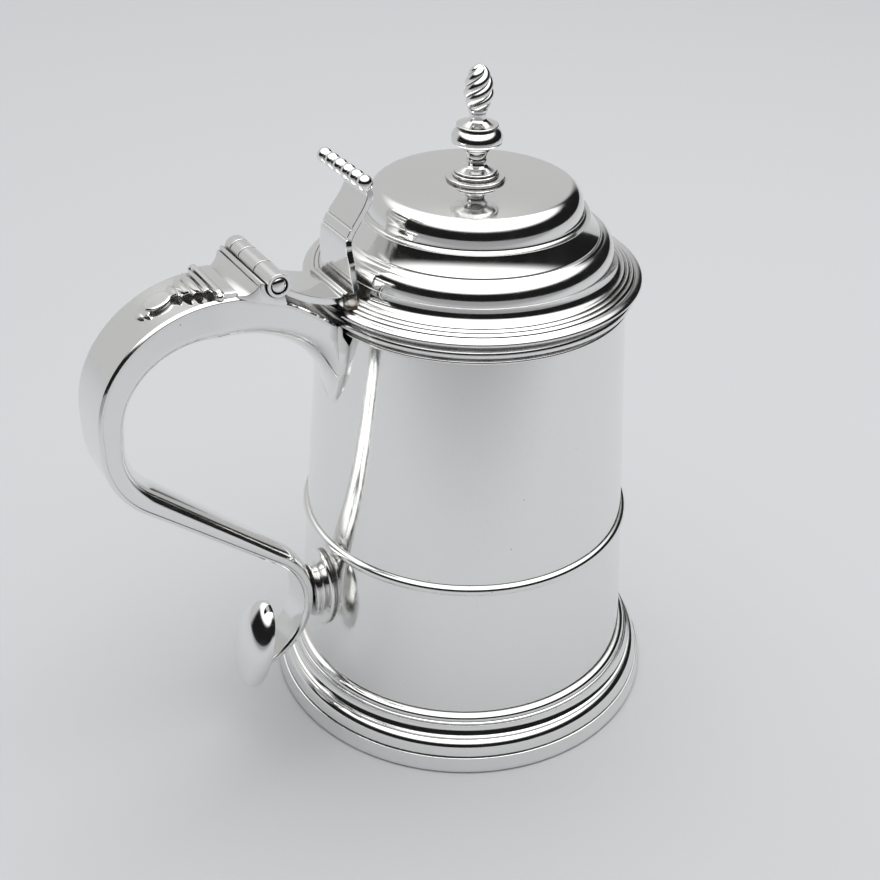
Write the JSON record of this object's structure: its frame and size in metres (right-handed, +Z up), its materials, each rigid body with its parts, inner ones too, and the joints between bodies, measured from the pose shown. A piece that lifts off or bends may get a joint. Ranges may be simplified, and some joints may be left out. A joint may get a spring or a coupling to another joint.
{
  "type": "lidded silver tankard",
  "caption": "Tapering silver tankard on a moulded foot, with an S-scroll handle and a stepped domed lid that opens on a pinned hinge with a scroll thumbpiece.",
  "frame": {"origin": "on the table, in the middle of the box round the tankard, handle included; the barrel's axis stands at X = +0.0286 m", "axes": "+Z up along the barrel's axis, handle on -X, the plane of symmetry through handle and hinge is Y = 0"},
  "size_m": [0.1872, 0.13, 0.2111],
  "materials": {
    "polished_silver": "polished silver with fine wear scratches and a little tarnish in the recesses",
    "worn_silver": "silver with a softer, less polished surface"
  },
  "bodies": {
    "tankard": {"body_barrel": "polished_silver", "bottom_disc": "worn_silver", "base_moulding": "polished_silver", "midband": "polished_silver", "lip_moulding": "polished_silver", "handle_shell": "polished_silver", "handle_back_strip": "polished_silver", "handle_terminal_boss": "polished_silver", "handle_lower_mount": "polished_silver", "hinge_drop": "polished_silver", "hinge_block": "polished_silver", "hinge_knuckle_near": "polished_silver", "hinge_knuckle_far": "polished_silver", "hinge_pin": "worn_silver", "hinge_pin_cap": "polished_silver"},
    "lid": {"lid_dome": "polished_silver", "lid_rim_wire": "polished_silver", "lid_bezel": "polished_silver", "lid_hinge_leaf": "polished_silver", "lid_hinge_knuckle": "polished_silver", "thumbpiece_scroll": "polished_silver", "thumbpiece_roll": "polished_silver", "finial_pedestal": "polished_silver", "finial_knop": "polished_silver", "finial_flame": "polished_silver"}
  },
  "joints": [
    {"name": "lid_hinge", "type": "hinge", "parent": "tankard", "child": "lid", "pos_m": [-0.0419, 0, 0.16498], "axis": [0, -1, 0], "range_deg": [0, 140]}
  ]
}
